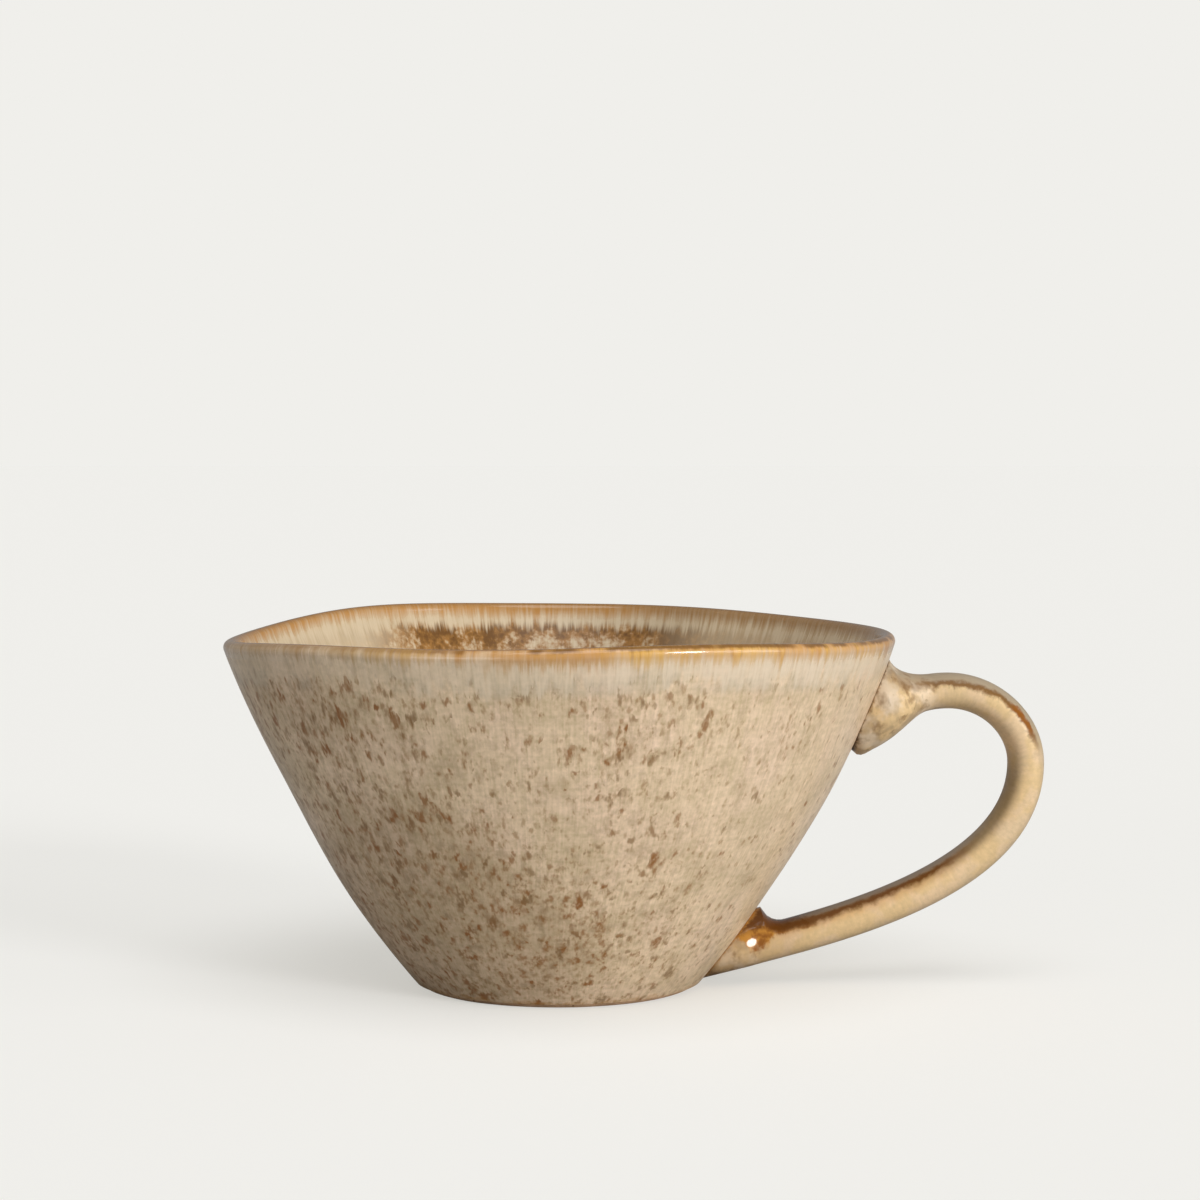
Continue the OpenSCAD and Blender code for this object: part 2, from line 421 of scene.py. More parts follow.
def closed_up(tree, sheet, place, material, end):
    """Moves the sheet to its place, joins its edges, and gives it its finish."""
    shape = out_of(tree, put(tree, "GeometryNodeSetPosition", Geometry=sheet, Position=place))
    shape = out_of(tree, put(tree, "GeometryNodeMergeByDistance", Geometry=shape, Distance=MERGE_GAP))
    shape = out_of(tree, put(tree, "GeometryNodeSetShadeSmooth", Geometry=shape, Shade_Smooth=True))
    bend = out_of(tree, put(tree, "GeometryNodeInputMeshEdgeAngle"), "Unsigned Angle")
    sharp = worked(tree, "GREATER_THAN", bend, radians(SHARP_BEND))
    shape = stored(tree, shape, "sharp_edge", sharp, "BOOLEAN", "EDGE")
    shape = out_of(tree, put(tree, "GeometryNodeRealizeInstances", Geometry=shape))
    shape = out_of(tree, put(tree, "GeometryNodeSetMaterial", Geometry=shape, Material=material))
    feed(tree, end.inputs["Shape"], shape)
    set_out(tree)


def wheel_tree():
    """Turns an outline on the wheel, with the lip's hand-formed waves."""
    tree = bpy.data.node_groups.new("turned on the wheel", "GeometryNodeTree")
    given, end = opened(tree, [
        ("Outline", SHAPE, None),
        ("Steps In A Turn", INT, 64),
        ("Looped", INT, 0),
        ("Cup Height", FLOAT, 0.065),
        ("Rim Rise", FLOAT, 0),
        ("Rim Spread", FLOAT, 0),
        ("Rim Drift", FLOAT, 0),
        ("Drift From", FLOAT, 0.014),
        ("Drift Run", FLOAT, 0.026),
        ("Wave Power", FLOAT, 1.5),
        ("Unevenness", FLOAT, 0),
        ("Seed", FLOAT, 4),
        ("Finish", MATERIAL, None),
    ], [("Shape", SHAPE)])
    sheet, turn, read = sheet_of_rings(tree, given["Outline"], given["Steps In A Turn"], given["Looped"])
    place = out_of(tree, put(tree, "GeometryNodeInputPosition"))
    out, _, height = split(tree, read(place, "FLOAT_VECTOR"))
    clay_height = read(named(tree, "clay_height"))
    way = read(named(tree, "way"))
    cosine = worked(tree, "COSINE", turn)
    sine = worked(tree, "SINE", turn)

    def waves(sizes):
        total = 0
        for k, (share, start) in enumerate(sizes):
            if share:
                total = total + share * worked(tree, "COSINE", (turn - radians(start)) * (k + 1))
        return total

    hold = (worked(tree, "MAXIMUM", clay_height, 0) / given["Cup Height"]) ** given["Wave Power"]
    spot = combined(tree, cosine * 0.05, sine * 0.05, clay_height + given["Seed"])
    uneven = (noise(tree, spot, 55, 1) - 0.5) * given["Unevenness"]
    fade = worked(tree, "MINIMUM", out / (uneven_from * MM), 1)
    radius = out + hold * given["Rim Spread"] * waves(spread_waves) + uneven * fade
    drift = given["Rim Drift"] * rising(tree, clay_height, given["Drift From"],
                                        given["Drift From"] + given["Drift Run"])
    place = combined(tree, radius * cosine + drift, radius * sine,
                     height + hold * given["Rim Rise"] * waves(rise_waves))
    on_wall = combined(tree, cosine * (rim_d / 2 * MM), sine * (rim_d / 2 * MM), way)
    sheet = stored(tree, sheet, "wall_way", on_wall, "FLOAT_VECTOR")
    closed_up(tree, sheet, place, given["Finish"], end)
    return tree


def strap_tree():
    """Draws a strap along its line, with its own thickness and width at each station."""
    tree = bpy.data.node_groups.new("pulled strap", "GeometryNodeTree")
    given, end = opened(tree, [
        ("Line", SHAPE, None),
        ("Sides", INT, 20),
        ("Looped", INT, 0),
        ("Squareness", FLOAT, 1),
        ("Finish", MATERIAL, None),
    ], [("Shape", SHAPE)])
    sheet, turn, read = sheet_of_rings(tree, given["Line"], given["Sides"], given["Looped"])
    place = out_of(tree, put(tree, "GeometryNodeInputPosition"))
    middle = read(place, "FLOAT_VECTOR")
    out = read(named(tree, "out", "FLOAT_VECTOR"), "FLOAT_VECTOR")
    cosine = worked(tree, "COSINE", turn)
    sine = worked(tree, "SINE", turn)

    def squared(x):
        return worked(tree, "SIGN", x) * worked(tree, "ABSOLUTE", x) ** given["Squareness"]

    outer = worked(tree, "GREATER_THAN", cosine, 0)
    half = read(named(tree, "half_out")) * outer + read(named(tree, "half_in")) * (1 - outer)
    across = vector_worked(tree, "SCALE", out)
    feed(tree, across.socket.node.inputs["Scale"], half * squared(cosine))
    aside = combined(tree, 0, read(named(tree, "half_w")) * squared(sine) * -1, 0)
    place = vector_worked(tree, "ADD", vector_worked(tree, "ADD", middle, across), aside)
    on_strap = combined(tree, cosine, sine, read(named(tree, "way")))
    sheet = stored(tree, sheet, "strap_way", on_strap, "FLOAT_VECTOR")
    closed_up(tree, sheet, place, given["Finish"], end)
    return tree


def line_of(name, points, values):
    """A row of points, joined by edges, that carries named values."""
    mesh = bpy.data.meshes.new(name)
    mesh.from_pydata(points, [(k, k + 1) for k in range(len(points) - 1)], [])
    for key, found in values.items():
        if isinstance(found[0], (tuple, Vector)):
            layer_of = mesh.attributes.new(key, "FLOAT_VECTOR", "POINT")
            layer_of.data.foreach_set("vector", [x for v in found for x in v])
        else:
            layer_of = mesh.attributes.new(key, "FLOAT", "POINT")
            layer_of.data.foreach_set("value", found)
    piece = bpy.data.objects.new(name, mesh)
    bpy.context.scene.collection.objects.link(piece)
    return piece


def settled(piece):
    """Keeps the mesh that a piece's modifiers make."""
    seen = piece.evaluated_get(bpy.context.evaluated_depsgraph_get())
    mesh = bpy.data.meshes.new_from_object(seen)
    piece.modifiers.clear()
    before = piece.data
    piece.data = mesh
    bpy.data.meshes.remove(before)
    mesh.name = piece.name


def grown(piece, tree, values):
    """Runs a tree on a piece, and turns its faces outwards."""
    modifier = piece.modifiers.new(tree.name, "NODES")
    modifier.node_group = tree
    for item in tree.interface.items_tree:
        if item.in_out == "INPUT" and item.name in values:
            modifier[item.identifier] = values[item.name]
    settled(piece)
    shape = bmesh.new()
    shape.from_mesh(piece.data)
    if shape.calc_volume(signed=True) < 0:
        bmesh.ops.reverse_faces(shape, faces=shape.faces)
    shape.to_mesh(piece.data)
    shape.free()
    return piece


def trimmed(piece, cutter, name):
    """Takes what a cutter holds out of a piece. The piece's named values are kept."""
    values = [v.vector.copy() for v in piece.data.attributes[name].data]
    points = KDTree(len(values))
    for k, v in enumerate(piece.data.vertices):
        points.insert(v.co, k)
    points.balance()
    cut = piece.modifiers.new("trimmed to the wall", "BOOLEAN")
    cut.operation = "DIFFERENCE"
    cut.solver = "EXACT"
    cut.object = cutter
    settled(piece)
    spare = [a.name for a in piece.data.attributes
             if a.data_type == "FLOAT_VECTOR" and not a.is_required]
    for old in spare:
        piece.data.attributes.remove(piece.data.attributes[old])
    kept = [x for v in piece.data.vertices for x in values[points.find(v.co)[1]]]
    piece.data.attributes.new(name, "FLOAT_VECTOR", "POINT").data.foreach_set("vector", kept)
    return piece


def turned(name, outline, looped, material):
    piece = line_of(name, [(r * MM, 0, z * MM) for r, z, _, _ in outline], {
        "clay_height": [z * MM for _, _, z, _ in outline],
        "way": [w * MM for _, _, _, w in outline],
    })
    return grown(piece, WHEEL, {
        "Steps In A Turn": TURNS,
        "Looped": int(looped),
        "Cup Height": cup_h * MM,
        "Rim Rise": rim_rise * MM,
        "Rim Spread": rim_spread * MM,
        "Rim Drift": rim_drift * MM,
        "Drift From": drift_from * MM,
        "Drift Run": drift_run * MM,
        "Wave Power": wave_power,
        "Unevenness": unevenness * MM,
        "Finish": material,
    })


# Line of the handle, in its own plane, as (distance out, height)

def waves_at_handle(waves):
    return sum(share * cos(radians((k + 1) * start)) for k, (share, start) in enumerate(waves))


def seat(u):
    point, out = outside(u)
    hold = (point.y / cup_h) ** wave_power
    drift = rim_drift * smooth((point.y - drift_from) / drift_run)
    moved = Vector((hold * rim_spread * waves_at_handle(spread_waves) + drift,
                    hold * rim_rise * waves_at_handle(rise_waves)))
    return point + glaze_t * out + moved


upper_joint = seat(wall_place(lip_foot.y - rim_band - upper_clear - top_fillet_r - strap_t / 2))
lower_joint = seat(wall_place(bare_line + lower_clear + strap_t / 2))
crown = upper_joint + Vector((crown_reach, crown_rise))
far = upper_joint + Vector((handle_reach, -handle_drop))
rise_arm = rise_share * crown_reach
rise_curve = [
    upper_joint,
    upper_joint + rise_arm * direction(start_slope),
    crown - Vector((rise_arm, 0)),
    crown,
]
bend_curve = [
    crown,
    crown + Vector((round_share * (far.x - crown.x), 0)),
    far + Vector((0, round_share * (crown.y - far.y))),
    far,
]
fall_curve = [
    far,
    far - Vector((0, hang_arm)),
    lower_joint + return_arm * direction(return_slope),
    lower_joint,
]
upper_end = (upper_joint - upper_depth * direction(start_slope), direction(start_slope))
lower_end = (lower_joint - lower_depth * direction(return_slope), -direction(return_slope))
sunk = [upper_end[0].lerp(upper_joint, t) for t in spaced(SUNK_STEPS, 0, 1)]
stations = (
    [(point, direction(start_slope)) for point in sunk[:-1]]
    + [(bezier(rise_curve, t), bezier_run(rise_curve, t)) for t in spaced(RISE_STEPS, 0, 1)]
    + [(bezier(bend_curve, t), bezier_run(bend_curve, t)) for t in spaced(BEND_STEPS, 0, 1)[1:]]
    + [(bezier(fall_curve, t), bezier_run(fall_curve, t)) for t in spaced(FALL_STEPS, 0, 1)[1:]]
    + [lower_end]
)
station_ways = ways(stations)
strap_length = station_ways[-1]


def hollow(r, run):
    x = max(0, min(hollow_share * r, run))
    return r - sqrt(r * r - x * x)


def strap_halves(k):
    """Half sizes of the strap at a station: outwards, inwards and across."""
    point = stations[k][0]
    up = (point - upper_joint).length * (-1 if k < len(sunk) else 1)
    low = 0 if k == len(stations) - 1 else (point - lower_joint).length
    half_out = strap_t / 2 + hollow(top_fillet_r, top_fillet_from - max(0, up))
    half_in = (strap_t / 2 + lobe_h * smooth((lobe_from - up) / lobe_run)
               + hollow(low_fillet_r, low_fillet_from - low)
               - hollow(lobe_round_r, -up - lobe_round_from))
    half_w = (strap_w / 2 + upper_spread * smooth((top_fillet_from - up) / spread_run)
              + lower_spread * smooth((low_fillet_from - low) / spread_run)
              + swell_w * smooth((swell_from - low) / swell_run))
    return half_out, half_in, half_w


def strap(name, order, looped, material, cutter):
    """Draws the strap through stations of (number, half sizes added; None draws in to a point)."""
    halves = [[0 if more is None else (h + more) * MM for h in strap_halves(k)] for k, more in order]
    line = line_of(name, [(stations[k][0].x * MM, 0, stations[k][0].y * MM) for k, _ in order], {
        "out": [(-stations[k][1].y, 0, stations[k][1].x) for k, _ in order],
        "half_out": [h[0] for h in halves],
        "half_in": [h[1] for h in halves],
        "half_w": [h[2] for h in halves],
        "way": [station_ways[k] * MM for k, _ in order],
    })
    drawn = grown(line, STRAP, {
        "Sides": STRAP_SIDES,
        "Looped": int(looped),
        "Squareness": square_share,
        "Finish": material,
    })
    return trimmed(drawn, cutter, "strap_way")


def mark_joint(piece, other):
    """Keeps, at each point of a piece, how near the other piece is."""
    tree = BVHTree.FromPolygons([v.co for v in other.data.vertices],
                                [p.vertices for p in other.data.polygons])
    gaps = []
    for v in piece.data.vertices:
        gap = tree.find_nearest(v.co, joint_reach * MM)[3]
        gaps.append(joint_reach * MM if gap is None else gap)
    piece.data.attributes.new("joint_gap", "FLOAT", "POINT").data.foreach_set("value", gaps)


# Finishes

def paint(r, g, b):
    """A colour as it looks on screen, as amounts of light."""
    return tuple(((c / 255 + 0.055) / 1.055) ** 2.4 for c in (r, g, b)) + (1,)


BEIGE = paint(225, 200, 166)
ROSE = paint(228, 200, 171)
SAGE = paint(207, 184, 149)
MOSS = paint(166, 141, 110)
PALE = paint(226, 209, 184)
MIST = paint(186, 178, 160)
CREAM = paint(212, 193, 162)
SAND = paint(190, 168, 132)
HONEY = paint(218, 188, 141)
GOLD = paint(210, 158, 66)
AMBER = paint(190, 130, 46)
TREACLE = paint(98, 54, 6)
BROWN = paint(110, 71, 22)
UMBER = paint(124, 93, 56)
FAWN = paint(164, 129, 86)
RUST = paint(144, 94, 48)
SYRUP = paint(138, 78, 4)
OCHRE = paint(188, 134, 66)
TOAST = paint(214, 172, 134)
SHADE_SHEEN_GREY = paint(150, 136, 116)
SHEEN_GREY = paint(150, 140, 128)
DARK = paint(70, 52, 36)
COAT_ROUGHNESS = 0.06
TO_MM = (1 / MM, 1 / MM, 1 / MM)

# Where the iron on the wall lies thickest, and where it clears
HEAVY_SPOT = (-19, -33, 17)
CLEAR_SPOT = (-13, -47, 42)

# Places on the handle: degrees round the strap, millimetres from its upper or lower end
LINE_SIDE = 62
PATCH_SIDE = 58
PATCH_RUN = 35.5
DRIP_LEFT = 11.5


def mixed(tree, factor, a, b, way="MIX"):
    """One colour over another."""
    node = tree.nodes.new("ShaderNodeMix")
    node.data_type = "RGBA"
    node.blend_type = way
    for k, value in ((0, factor), (6, a), (7, b)):
        feed(tree, node.inputs[k], value)
    return out_of(tree, node, 2)


def shaded(tree, colour, share):
    """A colour with a share of its light."""
    return mixed(tree, 1, colour, combined(tree, share, share, share), "MULTIPLY")


def shared(name, inputs, outputs):
    tree = bpy.data.node_groups.new(name, "ShaderNodeTree")
    given, end = opened(tree, inputs, outputs)
    return tree, given, end


def use(tree, effect, **inputs):
    """Places a shared effect, and returns a way to read its outputs."""
    node = put(tree, "ShaderNodeGroup", {"node_tree": effect}, **inputs)
    return lambda name: out_of(tree, node, name)


def streaks_effect():
    """Glaze that has run down the wall in fine lines."""
    tree, given, end = shared("run streaks", [
        ("Way", VECTOR, None), ("Width", FLOAT, 1), ("Length", FLOAT, 10), ("Detail", FLOAT, 3),
    ], [("Streak", FLOAT)])
    stretch = combined(tree, given["Width"], given["Width"], given["Length"])
    spot = vector_worked(tree, "DIVIDE", given["Way"], stretch)
    feed(tree, end.inputs["Streak"], noise(tree, spot, 1, given["Detail"], 0.6))
    set_out(tree)
    return tree


def far_from(tree, place, centre):
    node = put(tree, "ShaderNodeVectorMath", {"operation": "DISTANCE"})
    feed(tree, node.inputs[0], place)
    feed(tree, node.inputs[1], centre)
    return out_of(tree, node, "Value")


def specks_effect():
    """Iron spots with soft, torn edges."""
    tree, given, end = shared("iron specks", [
        ("Place", VECTOR, None), ("Spread", FLOAT, 3), ("Amount", FLOAT, 0.5),
    ], [("Speck", FLOAT), ("Tone", FLOAT)])
    spot = vector_worked(tree, "DIVIDE", given["Place"], combined(tree, *[given["Spread"]] * 3))
    bend = vector_worked(tree, "SUBTRACT", noise(tree, spot, 1.4, 2, 0.5, 1), (0.5, 0.5, 0.5))
    bent = vector_worked(tree, "MULTIPLY_ADD", bend, (1.2, 1.2, 1.2), spot)
    cell = put(tree, "ShaderNodeTexVoronoi", Vector=bent, Scale=1)
    pick, tone, large = split(tree, out_of(tree, cell, "Color"))
    brush = vector_worked(tree, "MULTIPLY", given["Place"], (1.6, 1.6, 0.6))
    feather = noise(tree, brush, 1, 2) - 0.5
    reach = large * 0.32 + 0.3
    blot = rising(tree, out_of(tree, cell, "Distance") + feather * 0.8, reach * 1.25, 0)
    held = rising(tree, pick, 1 - given["Amount"], 1.1 - given["Amount"])
    feed(tree, end.inputs["Speck"], blot * held)
    feed(tree, end.inputs["Tone"], tone)
    set_out(tree)
    return tree


def skin_effect():
    """The fired skin of the glaze: faint orange peel, a few pinholes, and an uneven gloss."""
    tree, given, end = shared("fired skin", [
        ("Place", VECTOR, None), ("Gloss", FLOAT, 0.25), ("Peel", FLOAT, 1),
    ], [("Height", FLOAT), ("Roughness", FLOAT)])
    wide = noise(tree, given["Place"], 0.22, 2)
    fine = noise(tree, given["Place"], 0.9, 2)
    holes = put(tree, "ShaderNodeTexVoronoi", Vector=given["Place"], Scale=0.16)
    pin = rising(tree, out_of(tree, holes, "Distance"), 0.012, 0.05)
    feed(tree, end.inputs["Height"], (wide * 0.7 + fine * 0.3) * given["Peel"] + pin * 0.25)
    feed(tree, end.inputs["Roughness"], given["Gloss"] + (fine - 0.5) * 0.1 + (1 - pin) * 0.3)
    set_out(tree)
    return tree


def grain_effect():
    """Bare stoneware: toasted clay with sand and iron in it."""
    tree, given, end = shared("clay grain", [
        ("Place", VECTOR, None), ("Clay", COLOUR, TOAST),
        ("Sand", COLOUR, CREAM), ("Iron", COLOUR, BROWN),
    ], [("Colour", COLOUR), ("Height", FLOAT)])
    sand = noise(tree, given["Place"], 3.2, 3, 0.7)
    cloud = noise(tree, given["Place"], 0.25, 2)
    iron = put(tree, "ShaderNodeTexVoronoi", Vector=given["Place"], Scale=0.7)
    colour = mixed(tree, rising(tree, sand, 0.45, 0.75) * 0.55, given["Clay"], given["Sand"])
    colour = mixed(tree, rising(tree, cloud, 0.35, 0.7) * 0.35, colour, given["Iron"])
    dot = rising(tree, out_of(tree, iron, "Distance"), 0.2, 0.1)
    colour = mixed(tree, dot * 0.7, colour, given["Iron"])
    feed(tree, end.inputs["Colour"], colour)
    feed(tree, end.inputs["Height"], sand)
    set_out(tree)
    return tree


def speckle_colours(tree, place, colour, amount):
    """Lays small, middling and large iron spots over a colour: each a fringe and a heart."""
    sizes = ((1.2, 2, 0, 0.3), (1.9, 1.8, 0.18, 0.75), (2.9, 1.8, 0.38, 1))
    for spread, share, less, heart in sizes:
        spots = use(tree, SPECKS, Place=place, Spread=spread, Amount=amount * share - less)
        blot, tone = spots("Speck"), spots("Tone")
        iron = mixed(tree, rising(tree, tone, 0.2, 0.6), UMBER, RUST)
        colour = mixed(tree, blot * 0.45, colour, FAWN)
        colour = mixed(tree, rising(tree, blot, 0.3, 1.05) * (tone * 0.4 + 0.6) * heart, colour, iron)
    return colour


def bowl_effect():
    """Colours of the glaze on the bowl, with painted shade inside and low on the left, by the way from
    the lip: minus is outside.
    """
    tree, given, end = shared("bowl glaze", [
        ("Way", VECTOR, None), ("Place", VECTOR, None), ("Specks", FLOAT, 1),
    ], [("Colour", COLOUR), ("Gloss", FLOAT)])
    way, place = given["Way"], given["Place"]
    _, _, depth = split(tree, way)
    x, y, z = split(tree, place)
    below = depth * -1
    fine = use(tree, STREAKS, Way=way, Width=0.5, Length=7, Detail=2)("Streak")
    wide = use(tree, STREAKS, Way=way, Width=1.5, Length=16)("Streak")
    drip = use(tree, STREAKS, Way=way, Width=6, Length=70, Detail=1)("Streak")
    turn = noise(tree, vector_worked(tree, "MULTIPLY", way, (0.04, 0.04, 0)), 1, 1)
    cloud = noise(tree, place, 0.11, 3)
    grain = noise(tree, place, 1.1, 3)

    # how thick the iron lies: most of all low down at the front, away from the handle
    thick = noise(tree, vector_worked(tree, "ADD", place, (0, 60, 0)), 0.05, 2)
    heavy = 0.46 + (thick - 0.5) * 0.9 - x * 0.006
    heavy = heavy + rising(tree, far_from(tree, place, HEAVY_SPOT), 34, 8) * 0.65
    heavy = heavy - rising(tree, far_from(tree, place, CLEAR_SPOT), 24, 6) * 0.2
    on_wall = combined(tree, x, y, depth * 0.5)

    # the coat's own colour, clouded, smudged and finely streaked; painted shade darkens it where the
    # iron lies heavy
    blush = noise(tree, vector_worked(tree, "ADD", place, (40, 0, 0)), 0.07, 2)
    colour = mixed(tree, rising(tree, cloud + heavy * 0.1, 0.48, 0.66) * 0.7, BEIGE, SAGE)
    colour = mixed(tree, rising(tree, blush, 0.45, 0.64) * 0.5, colour, ROSE)
    smudge = noise(tree, vector_worked(tree, "MULTIPLY", on_wall, (0.5, 0.5, 0.5)), 1, 4, 0.6)
    colour = mixed(tree, rising(tree, smudge, 0.48, 0.66) * (heavy * 0.5 + 0.15), colour, MOSS)
    # darker where the iron lies heavy: partly merged iron, partly painted shade on the lower left
    colour = mixed(tree, rising(tree, heavy, 0.5, 1) * 0.4, colour, MOSS)
    ribs = noise(tree, combined(tree, turn * 3, 0, depth * 1.4), 1, 2)
    tone = (fine - 0.5) * 0.4 + (grain - 0.5) * 0.5 + (ribs - 0.5) * 0.2 + 1
    colour = mixed(tree, 1, colour, combined(tree, tone, tone, tone * 1.4 - 0.4), "MULTIPLY")

    # iron spots, hardly any in the pale band
    clear_of_lip = rising(tree, below + (wide - 0.5) * 10, 5, 7.5) + rising(tree, depth, 12, 17)
    amount = worked(tree, "MINIMUM", worked(tree, "MAXIMUM", heavy, 0.2), 0.95)
    colour = speckle_colours(tree, on_wall, colour, amount * clear_of_lip * given["Specks"])

    # the streaky pale band under the lip, with a misty lower edge here and there
    pale = rising(tree, below + (wide - 0.5) * 12, 7.5, 4.5) * rising(tree, depth, 4, 2)
    pale = pale * rising(tree, x, -40, 20, 0.35, 0.9)
    colour = mixed(tree, pale * rising(tree, fine, 0.42, 0.58, 0.6, 0.85), colour, PALE)
    colour = mixed(tree, pale * rising(tree, wide, 0.52, 0.66) * 0.2, colour, MOSS)
    mist = rising(tree, below + (wide - 0.5) * 10, 4.4, 6.2) * rising(tree, below, 9, 7)
    colour = mixed(tree, mist * rising(tree, cloud, 0.44, 0.56) * 0.25, colour, MIST)

    # inside: cream run over a darker coat
    within = rising(tree, depth, 0.3, 1.3)
    runs = rising(tree, wide * 0.5 + fine * 0.5, 0.43, 0.6)
    cream = within * rising(tree, depth, 24, 8)
    colour = mixed(tree, cream * 0.9, colour, mixed(tree, runs * 0.5, CREAM, SAND))

    # brown pooled in a ring of blotches, with soft, streaky tops
    spot = vector_worked(tree, "MULTIPLY", way, (0.2, 0.2, 0.16))
    clump = noise(tree, spot, 1, 4, 0.6) + (noise(tree, spot, 0.3, 1) - 0.5) * 0.4
    top = depth + (wide - 0.5) * 6 + (fine - 0.5) * 3
    ring = rising(tree, top, 3.9, 6.4) * rising(tree, depth, 15, 9.5)
    ring = ring * rising(tree, x, 34, 14, 0.3) * rising(tree, x, -40, -28, 0.15)
    crest = rising(tree, top, 4.2, 5.4) * rising(tree, top, 9, 6.5)
    clump = clump + crest * 0.07
    pool = rising(tree, clump + (fine - 0.5) * 0.2 + (grain - 0.5) * 0.4, 0.32, 0.54) * ring
    rusty = rising(tree, clump + (smudge - 0.5) * 0.4 + (grain - 0.5) * 0.5, 0.72, 0.4)
    colour = mixed(tree, pool * 0.97, colour, mixed(tree, rusty * 0.65, BROWN, OCHRE))

    # amber where the glaze breaks over the lip, fading down in streaks; browner on the left
    left_third = rising(tree, x, -14, -38)
    reach = rising(tree, x, -20, 20, 1.4, 2) + (wide - 0.5) * 4 + (turn - 0.5) * 3 - left_third * 0.4
    reach = reach + rising(tree, drip, 0.55, 0.68) * 1.2
    ragged = below + (fine - 0.5) * 2.5
    outer = rising(tree, ragged, reach + 1.7, reach - 1.7) * rising(tree, depth, 1.4, 0.4)
    inner_reach = rising(tree, x, -34, -14, 2.3, 2.9) + (wide - 0.5) * 4 + (fine - 0.5) * 2
    inner = rising(tree, depth, inner_reach + 1.6, inner_reach - 1.6) * rising(tree, below, 0.8, -0.2)
    amber = worked(tree, "MAXIMUM", outer, inner)
    hue = mixed(tree, rising(tree, turn + (wide - 0.5) * 0.5, 0.4, 0.6), AMBER, GOLD)
    hue = mixed(tree, rising(tree, fine, 0.52, 0.66) * 0.4, hue, RUST)
    hue = mixed(tree, left_third * rising(tree, below, -0.5, 0.3) * 0.8, hue, FAWN)
    hue = mixed(tree, rising(tree, depth, -0.1, 0.7), hue, OCHRE)
    # fawn instead of amber inside the lip towards the right: partly painted shade
    hue = mixed(tree, rising(tree, depth, -0.2, 0.5) * rising(tree, x, 8, 28) * 0.8, hue, FAWN)
    colour = mixed(tree, amber * rising(tree, fine, 0.4, 0.6, 0.8, 0.95), colour, hue)

    # a heavier brown run at the front
    aside = worked(tree, "ABSOLUTE", x + 1 + (drip - 0.5) * 12)
    run = rising(tree, aside, 15, 5) * rising(tree, y, 0, -20)
    ragged = below + (fine - 0.5) * 5 + (wide - 0.5) * 5
    run = run * rising(tree, ragged, 4, 1.4) * rising(tree, below, 0.2, 0.8)
    colour = mixed(tree, run * 0.6, colour, OCHRE)

    # burnt brown along the sharpest part of the lip, outside and in
    edge = worked(tree, "ABSOLUTE", depth + 0.3 + (wide - 0.5) * 0.8)
    burnt = rising(tree, edge, 0.65, 0.15) * rising(tree, turn + (drip - 0.5) * 0.8, 0.32, 0.48)
    burnt = burnt * rising(tree, x, -34, -6, 0.25, 0.85)
    burnt_in = rising(tree, depth, 1.7, 0.3) * rising(tree, below, 0.4, -0.3) * 0.7
    colour = mixed(tree, worked(tree, "MAXIMUM", burnt, burnt_in), colour, BROWN)

    # painted shade inside the bowl, deepest in the middle and lifted again towards the right
    painted_shade = rising(tree, x, -45, 10, -0.16, -0.26) + rising(tree, x, 22, 34) * 0.16
    painted_shade = within * painted_shade + 1
    colour = shaded(tree, colour, painted_shade)

    # toasted glaze at the foot
    foot = rising(tree, z + (noise(tree, place, 0.5, 3) - 0.5) * 4, 1.5, 1.05)
    colour = mixed(tree, foot * 0.3, colour, OCHRE)
    feed(tree, end.inputs["Colour"], colour)
    feed(tree, end.inputs["Gloss"], 0.3 - amber * 0.12)
    set_out(tree)
    return tree


def material_start(name):
    material = bpy.data.materials.new(name)
    material.use_nodes = True
    tree = material.node_tree
    place = out_of(tree, put(tree, "ShaderNodeTexCoord"), "Object")
    place = vector_worked(tree, "MULTIPLY", place, TO_MM)
    return material, tree, tree.nodes["Principled BSDF"], place


def read_way(tree, name, scale=TO_MM):
    node = put(tree, "ShaderNodeAttribute", {"attribute_name": name})
    return vector_worked(tree, "MULTIPLY", out_of(tree, node, "Vector"), scale)


def read_gap(tree):
    node = put(tree, "ShaderNodeAttribute", {"attribute_name": "joint_gap"})
    return out_of(tree, node, "Fac") / MM


def bumped(tree, shader, height, strength, distance):
    bump = put(tree, "ShaderNodeBump", Height=height, Strength=strength, Distance=distance * MM)
    feed(tree, shader.inputs["Normal"], out_of(tree, bump))


def bowl_material(name, specks, gloss=0, jointed=False):
    material, tree, shader, place = material_start(name)
    coat = use(tree, BOWL_GLAZE, Way=read_way(tree, "wall_way"), Place=place, Specks=specks)
    colour = coat("Colour")
    if jointed:
        # ochre along the joint with the handle: glaze pooled in the crease, with painted shade there too
        crease_pool_and_shade = rising(tree, read_gap(tree) + (noise(tree, place, 0.8, 2) - 0.5) * 3, 0.8, 0.1)
        colour = mixed(tree, crease_pool_and_shade * 0.6, colour, OCHRE)
    skin = use(tree, SKIN, Place=place, Gloss=coat("Gloss"))
    feed(tree, shader.inputs["Base Color"], colour)
    feed(tree, shader.inputs["Roughness"], skin("Roughness"))
    shader.inputs["Specular IOR Level"].default_value = 0.3
    shader.inputs["Coat Weight"].default_value = gloss
    shader.inputs["Coat Roughness"].default_value = COAT_ROUGHNESS
    bumped(tree, shader, skin("Height"), 0.35, 0.15)
    set_out(tree)
    return material


